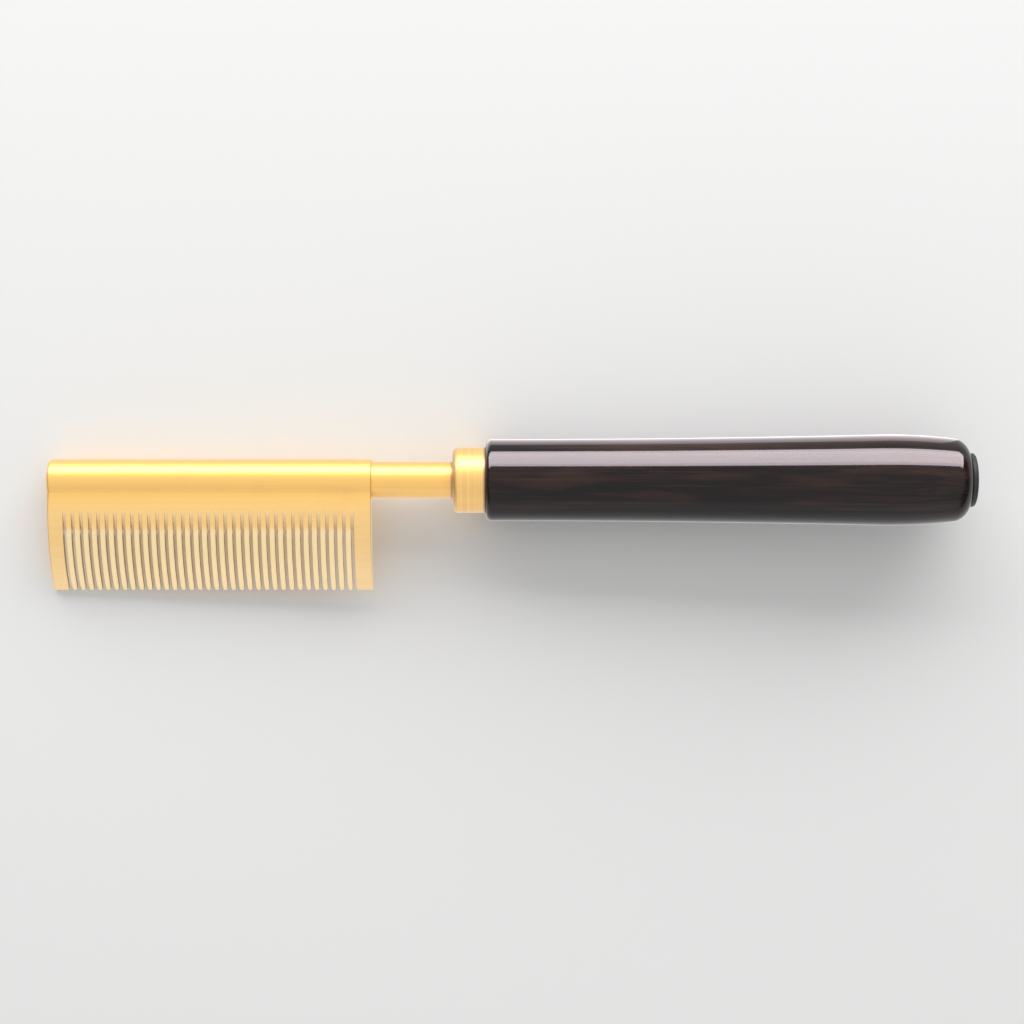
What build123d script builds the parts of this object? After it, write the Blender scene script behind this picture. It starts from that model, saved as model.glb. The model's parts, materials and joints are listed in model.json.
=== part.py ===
"""Electric straightening comb: a brass comb head with curved, saw-cut teeth on a heated barrel,
a tubular brass shank, a turned brass ferrule and a lacquered hardwood handle.

Frame: X runs along the tool, from the comb's nose (-X) to the cord gland (+X). The teeth point
to -Y and curve away from the face, which looks to +Z. The origin is the centre of the cord
gland's mouth, on the tool's axis. Millimetres.
"""

import os
from math import asin, cos, degrees, isclose, sin, sqrt

from build123d import *

# --- fits -------------------------------------------------------------------------------------
slip_gap = 0.05  # radial gap of pieces that slide into each other
press_gap = 0.01  # radial gap left in the model where the real pieces are pressed together

# --- comb head: barrel, web and teeth ---------------------------------------------------------
barrel_dia = 12.4
tooth_pitch = 2.5
slot_count = 35
slot_width = 1.05
nose_guard = 4.6  # the broad tooth at the nose
rear_guard = 5.0  # the broad tooth next to the shank
tooth_reach = 32.8  # from the barrel's axis down to the tooth tips
web_thickness = 3.0  # where the web leaves the barrel
web_offset = 3.5  # of the web's middle from the axis, towards the face
tip_thickness = 1.3
curve_drop = 7.6  # below the axis, where the web starts to curve away
curve_radius = 34.0
slot_front_drop = 9.3  # where a saw slot starts on the face
slot_through_drop = 14.7  # where it comes out at the back
saw_dia = 60.0  # the slitting saw, whose arc is the root of every slot
saw_overrun = 1.5  # how far the cut is carried past the face and the back
tip_relief = 0.28  # each side of a slot opens by this much at the tips
tip_relief_length = 1.6
web_fillet = 1.2
nose_fillet = 0.6
head_rear_chamfer = 0.4
nose_wall = 3.5  # solid brass between the heater bore and the nose

# --- heater cartridge -------------------------------------------------------------------------
heater_bore = 9.4
sheath_wall = 0.4
sheath_nose = 0.6
mica_wall = 0.35
winding_wall = 0.3
core_flange_length = 2.0
seal_length = 4.0
heater_end_gap = 0.5  # room for the cartridge to grow when hot
core_inset = 0.3  # from the sheath's nose to the core

# --- shank ------------------------------------------------------------------------------------
shank_dia = 10.9
shank_wall = 1.2
shank_visible = 24.0
socket_depth = 12.0  # how far the shank is pressed into the barrel
shank_tail = 22.0  # how far it reaches past the handle's shoulder
shank_edge = 0.4
heat_sleeve_wall = 1.0  # mica tube between the hot shank and the wood

# --- leads and the ceramic pieces that carry them ---------------------------------------------
lead_dia = 1.7
lead_spacing = 3.4  # between the two leads inside the shank
lead_hole_gap = 0.1
bead_length = 7.0
bead_count = 3
bush_flange = 1.5
bush_length = 7.0
bush_rim = 0.9  # how far the bush's flange overlaps the end of the tube

# --- ferrule and its clamped collar -----------------------------------------------------------
ferrule_dia = 19.5
ferrule_length = 9.8
ferrule_front_wall = 1.4
ferrule_skirt_wall = 1.25
ferrule_round = 1.8
ferrule_edge = 0.3
ferrule_hole_gap = 0.2  # round the shank, in the ferrule's front
collar_thickness = 2.4
washer_thickness = 0.5
lug_width = 3.0
lug_depth = 1.2
lug_reach = 2.4  # how far each lug stands into the tenon

# --- handle -----------------------------------------------------------------------------------
handle_front_dia = 24.3
handle_flare_dia = 26.9  # at the end of the flare, where the outline turns back in
handle_rear_dia = 23.6
handle_length = 143.4  # from the shoulder to the flange of the cord bush
flare_length = 116.0
shoulder_round = 1.8
rear_round = 5.5
wire_bore = 9.0
rear_bore = 12.0
rear_bore_depth = 62.0

# --- cord bush, whose mouth is the cord gland --------------------------------------------------
gland_bore = 6.6
cord_bush_flange_dia = 16.0
cord_bush_flange = 1.6
cord_bush_length = 12.0  # of its spigot in the handle
cord_bush_round = 0.8
crush_rib = 0.15
crush_rib_width = 1.2
crush_rib_count = 3

# --- thermal fuse and crimps ------------------------------------------------------------------
splice_spacing = 5.8  # between the two leads in the rear bore
fuse_dia = 4.0
fuse_length = 11.0
fuse_nose_length = 2.0
fuse_sleeve_dia = 5.6
fuse_sleeve_overhang = 2.5
fuse_from_bore_end = 5.0
crimp_dia = 3.6
crimp_length = 9.0
crimp_wall = 0.5
crimp_waist = 0.4  # how far each indent of the crimp goes in
crimp_from_sleeve = 3.0
lead_bend_radius = 30.0

# --- stations along X, worked out from the sizes above ----------------------------------------
handle_rear_x = -cord_bush_flange
shoulder_x = handle_rear_x - handle_length
ferrule_front_x = shoulder_x - ferrule_length
head_rear_x = ferrule_front_x - shank_visible
head_length = nose_guard + (slot_count - 1) * tooth_pitch + slot_width + rear_guard
nose_x = head_rear_x - head_length
shank_front_x = head_rear_x - socket_depth
shank_rear_x = shoulder_x + shank_tail
bush_seat_x = shank_rear_x + bush_flange
rear_bore_x = handle_rear_x - rear_bore_depth

# --- radii that follow from the fits ----------------------------------------------------------
barrel_r = barrel_dia / 2
shank_r = shank_dia / 2
shank_bore_r = shank_r - shank_wall
lead_r = lead_dia / 2
lead_y = lead_spacing / 2
splice_y = splice_spacing / 2


def ring(outer_r, inner_r, x_from, x_to):
    """Adds a tube on the tool's axis, from x_from to x_to, to the open part."""
    with BuildSketch(Plane.YZ.offset(x_from)) as ring_end:
        Circle(outer_r)
        Circle(inner_r, mode=Mode.SUBTRACT)
    extrude(ring_end.sketch, amount=x_to - x_from)


def disc(radius, x_from, x_to):
    """Adds a solid disc on the tool's axis, from x_from to x_to, to the open part."""
    with BuildSketch(Plane.YZ.offset(x_from)) as disc_end:
        Circle(radius)
    extrude(disc_end.sketch, amount=x_to - x_from)


def lead_holes(x_from, x_to):
    """Cuts the holes for the two leads, side by side in Y, out of the open part."""
    with BuildSketch(Plane.YZ.offset(x_from)) as hole_ends:
        with GridLocations(lead_spacing, 0, 2, 1):
            Circle(lead_r + lead_hole_gap)
    extrude(hole_ends.sketch, amount=x_to - x_from, mode=Mode.SUBTRACT)


# --- comb head --------------------------------------------------------------------------------
root_half = web_thickness / 2
tip_half = tip_thickness / 2
tip_turn = asin((tooth_reach - curve_drop - tip_half) / curve_radius)


def web_point(side, turn):
    """A point of the web's face (side 1) or back (side -1) after the web has turned by turn."""
    half = root_half + (tip_half - root_half) * turn / tip_turn
    r = curve_radius + side * half
    return (-curve_drop - r * sin(turn), web_offset + r * cos(turn) - curve_radius)


def web_at_drop(side, drop):
    """The point of the web's face or back that lies drop below the barrel's axis."""
    return web_point(side, asin(max(drop - curve_drop, 0) / (curve_radius + side * root_half)))


with BuildPart() as slot_cutter:
    # The saw comes in from the face: its rim is the slot's root, from the face to the back.
    cut_from = Vector(*web_at_drop(1, slot_front_drop))
    cut_to = Vector(*web_at_drop(-1, slot_through_drop))
    below_tips = -tooth_reach - web_thickness
    with BuildSketch(Plane.YZ):
        with BuildLine():
            root = RadiusArc(cut_from, cut_to, saw_dia / 2)
            Polyline(
                root @ 1,
                root @ 1 + (root % 1) * saw_overrun,
                (below_tips, web_point(-1, tip_turn)[1] - web_thickness),
                (below_tips, web_offset + web_thickness),
                root @ 0 - (root % 0) * saw_overrun,
                root @ 0,
            )
        make_face()
    extrude(amount=slot_width / 2, both=True)
    # Each slot flares at the tips, so that the teeth end narrower than they start.
    with BuildSketch(Plane.XY):
        with BuildLine():
            Polyline(
                (-slot_width / 2, tip_relief_length - tooth_reach),
                (slot_width / 2, tip_relief_length - tooth_reach),
                (slot_width / 2 + tip_relief, -tooth_reach),
                (slot_width / 2 + tip_relief, below_tips),
                (-slot_width / 2 - tip_relief, below_tips),
                (-slot_width / 2 - tip_relief, -tooth_reach),
                close=True,
            )
        make_face()
    extrude(amount=curve_radius, both=True)

with BuildPart() as comb_head:
    with BuildSketch(Plane.YZ.offset(nose_x)) as section:
        with BuildLine():
            face = ThreePointArc(*[web_point(1, tip_turn * share) for share in (0, 0.5, 1)])
            tip_middle = (Vector(*web_point(1, tip_turn)) + Vector(*web_point(-1, tip_turn))) / 2
            tip_end = tip_middle + Vector(-cos(tip_turn), -sin(tip_turn)) * tip_half
            ThreePointArc(face @ 1, tip_end, web_point(-1, tip_turn))
            back = ThreePointArc(*[web_point(-1, tip_turn * share) for share in (1, 0.5, 0)])
            Polyline(back @ 1, (0, web_offset - root_half), (0, web_offset + root_half), face @ 0)
        make_face()
        Circle(barrel_r)
        corners = [
            v
            for v in section.vertices()
            if v.X < 0 and isclose(sqrt(v.X**2 + v.Y**2), barrel_r, abs_tol=0.001)
        ]
        fillet(corners, web_fillet)
    extrude(amount=head_length)
    fillet(comb_head.faces().sort_by(Axis.X)[0].edges(), nose_fillet)
    chamfer(comb_head.faces().sort_by(Axis.X)[-1].edges(), head_rear_chamfer)
    with Locations(Plane(origin=(head_rear_x, 0, 0), x_dir=(0, 1, 0), z_dir=(1, 0, 0))):
        CounterBoreHole(
            radius=heater_bore / 2,
            counter_bore_radius=shank_r + press_gap,
            counter_bore_depth=socket_depth,
            depth=head_length - nose_wall,
        )
    first_slot_x = nose_x + nose_guard + slot_width / 2
    with Locations(*[(first_slot_x + i * tooth_pitch, 0, 0) for i in range(slot_count)]):
        add(slot_cutter.part, mode=Mode.SUBTRACT)
comb_head.part.label = "comb_head"

# --- heater cartridge -------------------------------------------------------------------------
sheath_r = heater_bore / 2 - slip_gap
sheath_front_x = nose_x + nose_wall + heater_end_gap
sheath_rear_x = shank_front_x - slip_gap
mica_r = sheath_r - sheath_wall - slip_gap
winding_r = mica_r - mica_wall - slip_gap
core_r = winding_r - winding_wall - press_gap
core_front_x = sheath_front_x + sheath_nose + core_inset
core_rear_x = sheath_rear_x - seal_length
winding_front_x = core_front_x + core_flange_length + press_gap
winding_rear_x = core_rear_x - core_flange_length - press_gap

with BuildPart() as heater_sheath:
    ring(sheath_r, sheath_r - sheath_wall, sheath_front_x, sheath_rear_x)
    disc(sheath_r, sheath_front_x, sheath_front_x + sheath_nose)
heater_sheath.part.label = "heater_sheath"

with BuildPart() as mica_sleeve:
    ring(mica_r, mica_r - mica_wall, core_front_x, core_rear_x)
mica_sleeve.part.label = "mica_sleeve"

with BuildPart() as heater_winding:
    ring(winding_r, winding_r - winding_wall, winding_front_x, winding_rear_x)
heater_winding.part.label = "heater_winding"

with BuildPart() as heater_core:
    ring(core_r, lead_r, core_front_x, core_rear_x)
    for flange_x in (core_front_x, core_rear_x - core_flange_length):
        ring(winding_r, lead_r, flange_x, flange_x + core_flange_length)
heater_core.part.label = "heater_core"

with BuildPart() as heater_seal:
    disc(mica_r, core_rear_x, sheath_rear_x)
    lead_holes(core_rear_x, sheath_rear_x)
heater_seal.part.label = "heater_seal"

# --- shank tube -------------------------------------------------------------------------------
with BuildPart() as shank_tube:
    ring(shank_r, shank_bore_r, shank_front_x, shank_rear_x)
    ends = shank_tube.edges().filter_by(GeomType.CIRCLE).group_by(Axis.X)
    chamfer([max(end, key=lambda e: e.radius) for end in (ends[0], ends[-1])], shank_edge)
shank_tube.part.label = "shank_tube"

# --- ferrule, with the collar that holds the shank and its mica washers ------------------------
ferrule_r = ferrule_dia / 2
ferrule_bore_r = ferrule_r - ferrule_skirt_wall
clamped_r = ferrule_bore_r - slip_gap
front_washer_x = ferrule_front_x + ferrule_front_wall
collar_x = front_washer_x + washer_thickness
rear_washer_x = collar_x + collar_thickness
tenon_front_x = rear_washer_x + washer_thickness

with BuildPart() as ferrule:
    ring(ferrule_r, shank_r + ferrule_hole_gap, ferrule_front_x, front_washer_x)
    ring(ferrule_r, ferrule_bore_r, front_washer_x, shoulder_x)
    rims = ferrule.edges().filter_by(GeomType.CIRCLE).group_by(Axis.X)
    fillet(max(rims[0], key=lambda e: e.radius), ferrule_round)
    rims = ferrule.edges().filter_by(GeomType.CIRCLE).group_by(Axis.X)
    chamfer(max(rims[-1], key=lambda e: e.radius), ferrule_edge)
ferrule.part.label = "ferrule"

with BuildPart() as front_washer:
    ring(clamped_r, shank_r + slip_gap, front_washer_x, collar_x)
front_washer.part.label = "front_washer"


def lug_sketch(gap):
    """Sketches the collar's two lugs, gap wider all round, in the open sketch."""
    with GridLocations(2 * clamped_r, 0, 2, 1):
        Rectangle(2 * (lug_depth + gap), lug_width + 2 * gap)


with BuildPart() as shank_collar:
    ring(clamped_r, shank_r + press_gap, collar_x, rear_washer_x)
    # Two lugs key the collar into the tenon, so that the head can't turn in the handle.
    with BuildSketch(Plane.YZ.offset(rear_washer_x)):
        lug_sketch(0)
        Circle(clamped_r, mode=Mode.INTERSECT)
    extrude(amount=washer_thickness + lug_reach)
shank_collar.part.label = "shank_collar"

with BuildPart() as rear_washer:
    ring(clamped_r, shank_r + slip_gap, rear_washer_x, tenon_front_x)
    with BuildSketch(Plane.YZ.offset(rear_washer_x)):
        lug_sketch(slip_gap)
    extrude(amount=washer_thickness, mode=Mode.SUBTRACT)
rear_washer.part.label = "rear_washer"

# --- handle -----------------------------------------------------------------------------------
heat_sleeve_r = shank_r + slip_gap + heat_sleeve_wall

with BuildPart() as handle:
    with BuildSketch(Plane.XY) as turned:
        with BuildLine():
            flare = TangentArc(
                (shoulder_x, handle_front_dia / 2),
                (shoulder_x + flare_length, handle_flare_dia / 2),
                tangent=(1, 0),
            )
            crown = TangentArc(
                flare @ 1, (handle_rear_x, handle_rear_dia / 2), tangent=flare % 1
            )
            Polyline(
                crown @ 1,
                (handle_rear_x, 0),
                (tenon_front_x, 0),
                (tenon_front_x, clamped_r),
                (shoulder_x, clamped_r),
                flare @ 0,
            )
        make_face()
        shoulder = turned.vertices().sort_by_distance((shoulder_x, handle_front_dia / 2))[0]
        fillet(shoulder, shoulder_round)
        rear_corner = turned.vertices().sort_by_distance((handle_rear_x, handle_rear_dia / 2))[0]
        fillet(rear_corner, rear_round)
    revolve(axis=Axis.X)
    # The bores: for the shank in its sleeve, for the leads, and for the splices.
    with Locations(Plane(origin=(tenon_front_x, 0, 0), x_dir=(0, 1, 0), z_dir=(-1, 0, 0))):
        Hole(heat_sleeve_r + slip_gap, depth=bush_seat_x - tenon_front_x)
    with Locations(Plane(origin=(handle_rear_x, 0, 0), x_dir=(0, 1, 0), z_dir=(1, 0, 0))):
        CounterBoreHole(
            radius=wire_bore / 2,
            counter_bore_radius=rear_bore / 2,
            counter_bore_depth=rear_bore_depth,
            depth=handle_rear_x - bush_seat_x,
        )
    # Slots in the tenon's face take the collar's lugs.
    with BuildSketch(Plane.YZ.offset(tenon_front_x)):
        lug_sketch(slip_gap)
    extrude(amount=lug_reach + slip_gap, mode=Mode.SUBTRACT)
handle.part.label = "handle"

with BuildPart() as heat_sleeve:
    ring(heat_sleeve_r, shank_r + slip_gap, tenon_front_x, shank_rear_x)
heat_sleeve.part.label = "heat_sleeve"

# --- ceramic pieces that carry the leads ------------------------------------------------------
bead_r = shank_bore_r - slip_gap
bush_front_x = shank_rear_x - bush_length
bead_run = (bush_front_x - shank_front_x) / bead_count

with BuildPart() as lead_beads:
    for i in range(bead_count):
        bead_x = shank_front_x + (i + 0.5) * bead_run - bead_length / 2
        disc(bead_r, bead_x, bead_x + bead_length)
    lead_holes(shank_front_x, bush_front_x)
lead_beads.part.label = "lead_beads"

with BuildPart() as shank_bush:
    disc(bead_r, bush_front_x, shank_rear_x)
    disc(shank_bore_r + bush_rim, shank_rear_x, bush_seat_x)
    lead_holes(bush_front_x, bush_seat_x)
shank_bush.part.label = "shank_bush"

# --- leads, thermal fuse and crimps -----------------------------------------------------------
fuse_front_x = rear_bore_x + fuse_from_bore_end
fuse_rear_x = fuse_front_x + fuse_length
sleeve_front_x = fuse_front_x - fuse_sleeve_overhang
sleeve_rear_x = fuse_rear_x + fuse_sleeve_overhang
crimp_front_x = sleeve_rear_x + crimp_from_sleeve
crimp_middle_x = crimp_front_x + crimp_length / 2


def lead(side, end_x):
    """Adds a lead from the heater core to end_x, which spreads from its pair after the bush."""
    with BuildLine() as route:
        FilletPolyline(
            (core_rear_x, side * lead_y, 0),
            (bush_seat_x, side * lead_y, 0),
            (rear_bore_x, side * splice_y, 0),
            (end_x, side * splice_y, 0),
            radius=lead_bend_radius,
        )
    with BuildSketch(Plane.YZ.offset(core_rear_x)) as lead_end:
        with Locations((side * lead_y, 0)):
            Circle(lead_r)
    sweep(lead_end.sketch, path=route.line)


def splice_ring(y, outer_r, inner_r, x_from, x_to):
    """Adds a tube round the lead at y, from x_from to x_to, to the open part."""
    with BuildSketch(Plane.YZ.offset(x_from)) as tube_end:
        with Locations((y, 0)):
            Circle(outer_r)
            Circle(inner_r, mode=Mode.SUBTRACT)
    extrude(tube_end.sketch, amount=x_to - x_from)


def crimp(y):
    """Adds the splice crimp on the lead at y, pinched from both sides in its middle."""
    hole_r = crimp_dia / 2 - crimp_wall - crimp_waist
    splice_ring(y, crimp_dia / 2, hole_r, crimp_front_x, crimp_front_x + crimp_length)
    with BuildSketch(Plane.XZ.offset(-y)) as pinches:
        with Locations((crimp_middle_x, 0)):
            with GridLocations(0, crimp_dia, 1, 2):
                Rectangle(crimp_length / 3, 2 * crimp_waist)
    extrude(pinches.sketch, amount=crimp_dia / 2, both=True, mode=Mode.SUBTRACT)


with BuildPart() as live_lead:
    lead(1, fuse_front_x)
live_lead.part.label = "live_lead"

with BuildPart() as neutral_lead:
    lead(-1, crimp_middle_x)
neutral_lead.part.label = "neutral_lead"

with BuildPart() as fuse_lead:
    with BuildSketch(Plane.YZ.offset(fuse_rear_x)):
        with Locations((splice_y, 0)):
            Circle(lead_r)
    extrude(amount=crimp_middle_x - fuse_rear_x)
fuse_lead.part.label = "fuse_lead"

with BuildPart() as thermal_fuse:
    with BuildSketch(Plane.XY):
        with BuildLine():
            Polyline(
                (fuse_front_x, splice_y),
                (fuse_front_x, splice_y + lead_r),
                (fuse_front_x + fuse_nose_length, splice_y + fuse_dia / 2),
                (fuse_rear_x, splice_y + fuse_dia / 2),
                (fuse_rear_x, splice_y),
                close=True,
            )
        make_face()
    revolve(axis=Axis((0, splice_y, 0), (1, 0, 0)))
thermal_fuse.part.label = "thermal_fuse"

with BuildPart() as fuse_sleeve:
    splice_ring(splice_y, fuse_sleeve_dia / 2, fuse_dia / 2 + slip_gap, sleeve_front_x, sleeve_rear_x)
fuse_sleeve.part.label = "fuse_sleeve"

with BuildPart() as live_crimp:
    crimp(splice_y)
live_crimp.part.label = "live_crimp"

with BuildPart() as neutral_crimp:
    crimp(-splice_y)
neutral_crimp.part.label = "neutral_crimp"

# --- cord bush --------------------------------------------------------------------------------
gland_r = gland_bore / 2
spigot_r = rear_bore / 2 - slip_gap - crush_rib
spigot_front_x = handle_rear_x - cord_bush_length
rib_step = cord_bush_length / (crush_rib_count + 1)

with BuildPart() as cord_bush:
    ring(spigot_r, gland_r, spigot_front_x, handle_rear_x)
    ring(cord_bush_flange_dia / 2, gland_r, handle_rear_x, 0)
    for i in range(crush_rib_count):
        rib_x = spigot_front_x + (i + 1) * rib_step - crush_rib_width / 2
        ring(spigot_r + crush_rib, gland_r, rib_x, rib_x + crush_rib_width)
    rims = cord_bush.edges().filter_by(GeomType.CIRCLE).group_by(Axis.X)
    fillet(max(rims[-1], key=lambda e: e.radius), cord_bush_round)
cord_bush.part.label = "cord_bush"

# --- files ------------------------------------------------------------------------------------
os.makedirs("parts", exist_ok=True)
for piece in (
    comb_head,
    heater_sheath,
    mica_sleeve,
    heater_winding,
    heater_core,
    heater_seal,
    shank_tube,
    ferrule,
    front_washer,
    shank_collar,
    rear_washer,
    handle,
    heat_sleeve,
    lead_beads,
    shank_bush,
    live_lead,
    neutral_lead,
    fuse_lead,
    thermal_fuse,
    fuse_sleeve,
    live_crimp,
    neutral_crimp,
    cord_bush,
):
    export_step(piece.part, f"parts/{piece.part.label}.step")
print("overall length", round(-nose_x, 2), "head", round(head_length, 2))
print("teeth turn", round(degrees(tip_turn), 1), "degrees and reach back to z",
      round(web_point(-1, tip_turn)[1], 2))
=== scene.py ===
import json
from math import acos, asin, atan2, cos, pi, radians, sin, sqrt, tan

import bmesh
import bpy
from bpy.props import FloatProperty, FloatVectorProperty, IntProperty, PointerProperty
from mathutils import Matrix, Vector


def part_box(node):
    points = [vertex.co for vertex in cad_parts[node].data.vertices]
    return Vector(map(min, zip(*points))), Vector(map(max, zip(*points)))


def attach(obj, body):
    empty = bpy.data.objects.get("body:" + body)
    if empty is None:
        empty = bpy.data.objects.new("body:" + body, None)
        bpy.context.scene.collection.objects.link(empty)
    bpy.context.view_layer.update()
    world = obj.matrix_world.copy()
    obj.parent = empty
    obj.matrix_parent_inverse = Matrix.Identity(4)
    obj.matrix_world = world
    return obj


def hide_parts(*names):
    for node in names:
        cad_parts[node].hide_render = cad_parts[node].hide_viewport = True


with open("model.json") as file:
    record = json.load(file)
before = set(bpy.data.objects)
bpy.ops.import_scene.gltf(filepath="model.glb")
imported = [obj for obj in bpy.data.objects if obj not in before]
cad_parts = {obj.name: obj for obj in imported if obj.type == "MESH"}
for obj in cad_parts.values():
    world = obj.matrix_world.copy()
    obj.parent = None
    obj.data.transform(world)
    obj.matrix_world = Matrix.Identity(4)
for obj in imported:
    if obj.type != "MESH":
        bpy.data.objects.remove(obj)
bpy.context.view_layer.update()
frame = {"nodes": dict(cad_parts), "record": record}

bl_info = {
    "name": "Electric straightening comb",
    "version": (1, 0, 0),
    "blender": (4, 5, 0),
    "location": "View3D > Sidebar > Straightening comb",
    "description": "Makes the comb head, shank, ferrule, handle and cord bush, and their stage",
    "category": "Add Mesh",
}

# Stations along the tool, from the frame's own pieces.
HEAD_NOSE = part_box("comb_head")[0].x
HEAD_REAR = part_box("comb_head")[1].x
SHANK_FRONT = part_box("shank_tube")[0].x
SHANK_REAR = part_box("shank_tube")[1].x
FERRULE_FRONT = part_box("ferrule")[0].x
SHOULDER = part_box("ferrule")[1].x
TENON_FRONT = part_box("handle")[0].x
HANDLE_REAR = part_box("handle")[1].x
BUSH_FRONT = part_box("cord_bush")[0].x
BUSH_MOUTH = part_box("cord_bush")[1].x
BUSH_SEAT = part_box("shank_bush")[1].x

# How finely the comb head is divided: round the barrel, down the web, at its ends and at the tips.
BARREL_STEPS, WEB_STEPS, END_STEPS, RELIEF_STEPS = 120, 23, 7, 5
RELIEF_CURVE = 1.8  # the power by which a saw cut opens towards the tips
SHARP_TURN = radians(32)  # edges that turn by more are broken on the comb head, or stay sharp


def length(name, millimetres, description):
    """A property for a size of the tool, given in millimetres and kept in metres."""
    return FloatProperty(
        name=name,
        description=description,
        default=millimetres / 1000,
        min=0.0,
        precision=5,
        subtype="DISTANCE",
        unit="LENGTH",
    )


def tone(name, colour, description):
    """A property for a colour of a finish."""
    return FloatVectorProperty(
        name=name, description=description, default=colour, size=3, min=0.0, max=1.0, subtype="COLOR"
    )


def share(name, value, description):
    """A property for a plain number from 0 to 1."""
    return FloatProperty(
        name=name, description=description, default=value, min=0.0, max=1.0, subtype="FACTOR"
    )


def power(name, watts, description):
    """A property for the power of a lamp."""
    return FloatProperty(name=name, description=description, default=watts, min=0.0, unit="POWER")


class CombHeadSizes(bpy.types.PropertyGroup):
    """Sizes of the barrel, its web and the saw-cut teeth"""

    barrel: length("Barrel", 12.4, "Diameter of the heated barrel")
    slots: IntProperty(name="Slots", description="Number of saw cuts", default=35, min=1)
    pitch: length("Pitch", 2.5, "From one saw cut to the next")
    slot: length("Slot width", 1.05, "Thickness of the saw blade")
    nose_guard: length("Nose guard tooth", 4.6, "Width of the broad tooth at the nose")
    reach: length("Reach", 32.8, "From the barrel's axis to the tooth tips")
    web: length("Web thickness", 3.0, "Thickness where the web leaves the barrel")
    web_offset: length("Web offset", 3.5, "Height of the web's middle above the barrel's axis")
    tip: length("Tip thickness", 1.3, "Thickness of the web at the tooth tips")
    curve_drop: length("Curve start", 7.6, "How far below the axis the web starts to curve")
    curve_radius: length("Curve radius", 34.0, "Radius of the curve of the web's middle")
    slot_face: length("Slot start", 9.3, "How far below the axis a slot starts on the face")
    slot_back: length("Slot through", 14.7, "How far below the axis a slot comes out at the back")
    saw: length("Saw", 60.0, "Diameter of the slitting saw")
    overrun: length("Saw overrun", 1.5, "How far a cut is carried past the face and the back")
    relief: length("Tip relief", 0.28, "How much each side of a slot opens at the tips")
    relief_length: length("Relief length", 1.6, "Length of the relieved tip")
    root_fillet: length("Root fillet", 1.2, "Rounding between the barrel and the web")
    nose_round: length("Nose rounding", 0.95, "Rounding of the barrel's front end")
    web_round: length("Web rounding", 0.55, "Rounding of the web's front edge")
    rear_round: length("Rear rounding", 0.4, "Rounding of the rear end")
    edge: length("Broken edge", 0.11, "How far the saw-cut edges are broken")
    nose_wall: length("Nose wall", 3.5, "Solid brass in front of the heater bore")
    heater_bore: length("Heater bore", 9.4, "Bore for the heater cartridge")
    socket_bore: length("Socket", 10.92, "Bore for the shank tube")


class ShankSizes(bpy.types.PropertyGroup):
    """Sizes of the shank tube and the ferrule"""

    shank: length("Shank", 10.9, "Outer diameter of the shank tube")
    shank_bore: length("Shank bore", 8.5, "Inner diameter of the shank tube")
    shank_edge: length("Shank edge", 0.4, "Rounding of the tube's ends")
    ferrule: length("Ferrule", 19.5, "Outer diameter of the ferrule")
    ferrule_bore: length("Ferrule bore", 17.0, "Inner diameter of the ferrule's skirt")
    ferrule_hole: length("Ferrule hole", 11.3, "Hole round the shank in the ferrule's front")
    ferrule_front: length("Front wall", 1.4, "Thickness of the ferrule's front")
    ferrule_round: length("Ferrule rounding", 1.8, "Rounding of the ferrule's front corner")
    ferrule_lip: length("Hole rounding", 0.35, "Rounding of the ferrule's hole")
    ferrule_edge: length("Ferrule edge", 0.3, "Rounding of the ferrule's rear rim")


class HandleSizes(bpy.types.PropertyGroup):
    """Sizes of the turned handle and the cord bush"""

    front: length("Front diameter", 24.3, "Diameter at the shoulder")
    flare: length("Flare diameter", 26.9, "Diameter at the end of the flare")
    flare_length: length("Flare length", 116.0, "From the shoulder to the end of the flare")
    rear: length("Rear diameter", 23.6, "Diameter at the rear, before it is rounded")
    shoulder_round: length("Shoulder rounding", 1.8, "Rounding of the shoulder")
    rear_round: length("Rear rounding", 5.5, "Rounding of the rear end")
    tenon: length("Tenon", 16.9, "Diameter of the tenon in the ferrule")
    sleeve_bore: length("Sleeve bore", 13.1, "Bore for the heat sleeve")
    wire_bore: length("Wire bore", 9.0, "Bore for the leads")
    rear_bore: length("Rear bore", 12.0, "Bore for the splices and the cord bush")
    rear_bore_depth: length("Rear bore depth", 62.0, "Depth of the rear bore")
    lug_width: length("Lug slot width", 3.1, "Width of each slot for the collar's lugs")
    lug_depth: length("Lug slot height", 1.25, "How far each slot goes in from the tenon's side")
    lug_length: length("Lug slot length", 2.45, "How far each slot goes back from the tenon's face")
    bush_flange: length("Bush flange", 16.0, "Diameter of the cord bush's flange")
    bush_flange_length: length("Flange thickness", 1.6, "Thickness of the cord bush's flange")
    bush_round: length("Flange rounding", 0.8, "Rounding of the flange's rim")
    bush_lip: length("Mouth rounding", 0.45, "Rounding of the cord gland's mouth")
    bush_edge: length("Spigot rounding", 0.2, "Rounding of the bush's front edge, halved on its flange")
    bush_spigot: length("Bush spigot", 11.6, "Diameter of the bush inside the handle")
    bush_rib: length("Crush rib", 11.9, "Diameter of the bush's crush ribs")
    bush_rib_width: length("Rib width", 1.2, "Width of each crush rib")
    bush_ribs: IntProperty(name="Crush ribs", description="Number of crush ribs", default=3, min=0)
    gland: length("Cord gland", 6.6, "Bore for the cord")


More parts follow.
